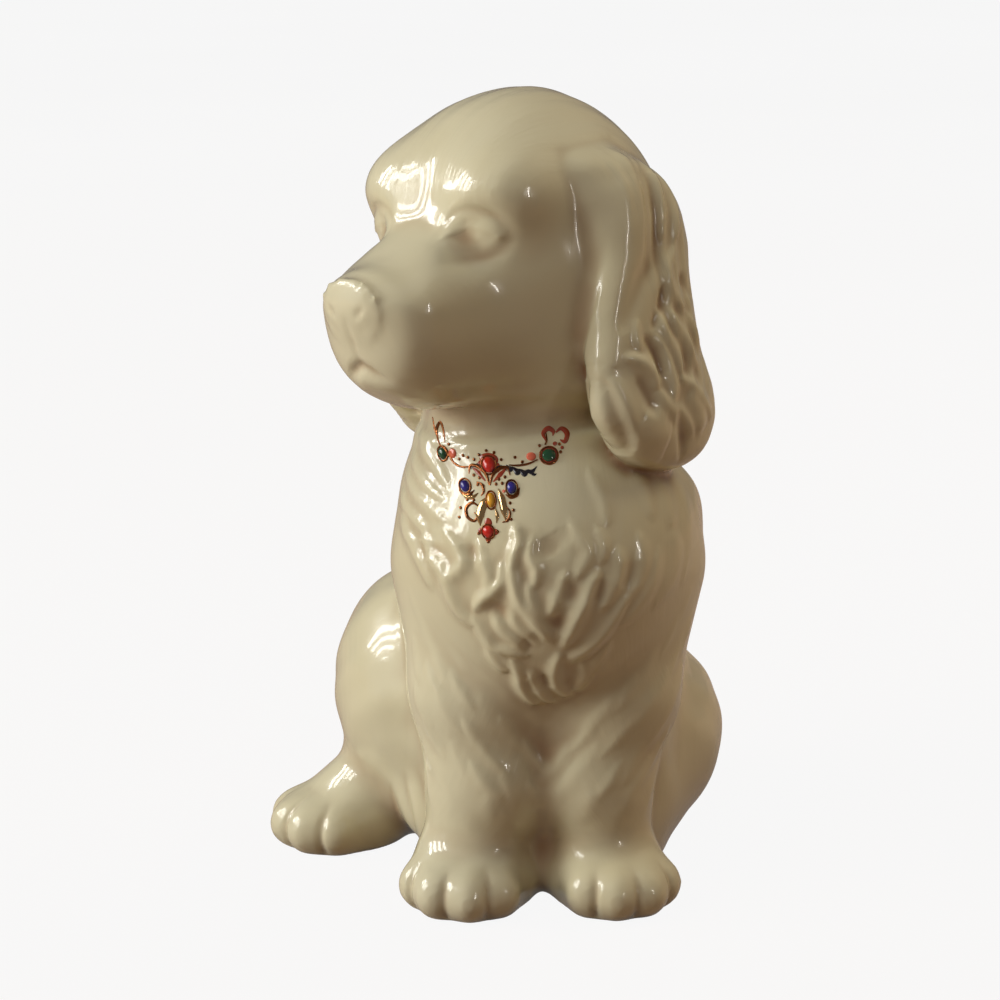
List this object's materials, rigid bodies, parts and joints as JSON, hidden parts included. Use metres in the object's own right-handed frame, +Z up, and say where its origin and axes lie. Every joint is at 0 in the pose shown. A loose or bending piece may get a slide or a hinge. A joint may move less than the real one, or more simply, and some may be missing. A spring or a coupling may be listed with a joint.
{
  "type": "glazed china spaniel puppy figure",
  "caption": "Seated spaniel puppy ornament in glazed ivory china, head turned, with long ears and a gilt, enamelled necklace.",
  "frame": {"origin": "centre of the footprint of the whole figure, on the surface it stands on", "axes": "+Z up; the chest faces -Y; the dog's own left is +X"},
  "size_m": [0.0874, 0.0962, 0.1513],
  "materials": {
    "ivory_glaze": "high gloss",
    "enamel_ruby": "high gloss",
    "enamel_sapphire": "high gloss",
    "enamel_emerald": "high gloss",
    "enamel_topaz": "high gloss",
    "enamel_coral": "high gloss",
    "coral_paint": "gloss",
    "dark_enamel": "gloss",
    "burnished_gold": "burnished gold",
    "pale_gold": "bright pale gold"
  },
  "bodies": {
    "root": {"torso": "ivory_glaze", "head": "ivory_glaze", "ear_right": "ivory_glaze", "ear_left": "ivory_glaze", "foreleg_right": "ivory_glaze", "foreleg_left": "ivory_glaze", "haunch_right": "ivory_glaze", "haunch_left": "ivory_glaze", "hind_paw_right": "ivory_glaze", "hind_paw_left": "ivory_glaze", "tail": "ivory_glaze", "ruby_enamel_top": "enamel_ruby", "ruby_enamel_drop": "enamel_ruby", "sapphire_enamel_right": "enamel_sapphire", "sapphire_enamel_left": "enamel_sapphire", "emerald_enamel_right": "enamel_emerald", "emerald_enamel_left": "enamel_emerald", "topaz_enamel": "enamel_topaz", "coral_enamels": "enamel_coral", "gold_mounts": "burnished_gold", "gold_leaves": "pale_gold", "coral_scrolls": "coral_paint", "acanthus_leaf": "dark_enamel", "gold_scrolls": "burnished_gold", "gold_dots": "burnished_gold", "gold_collar": "burnished_gold"}
  },
  "joints": []
}
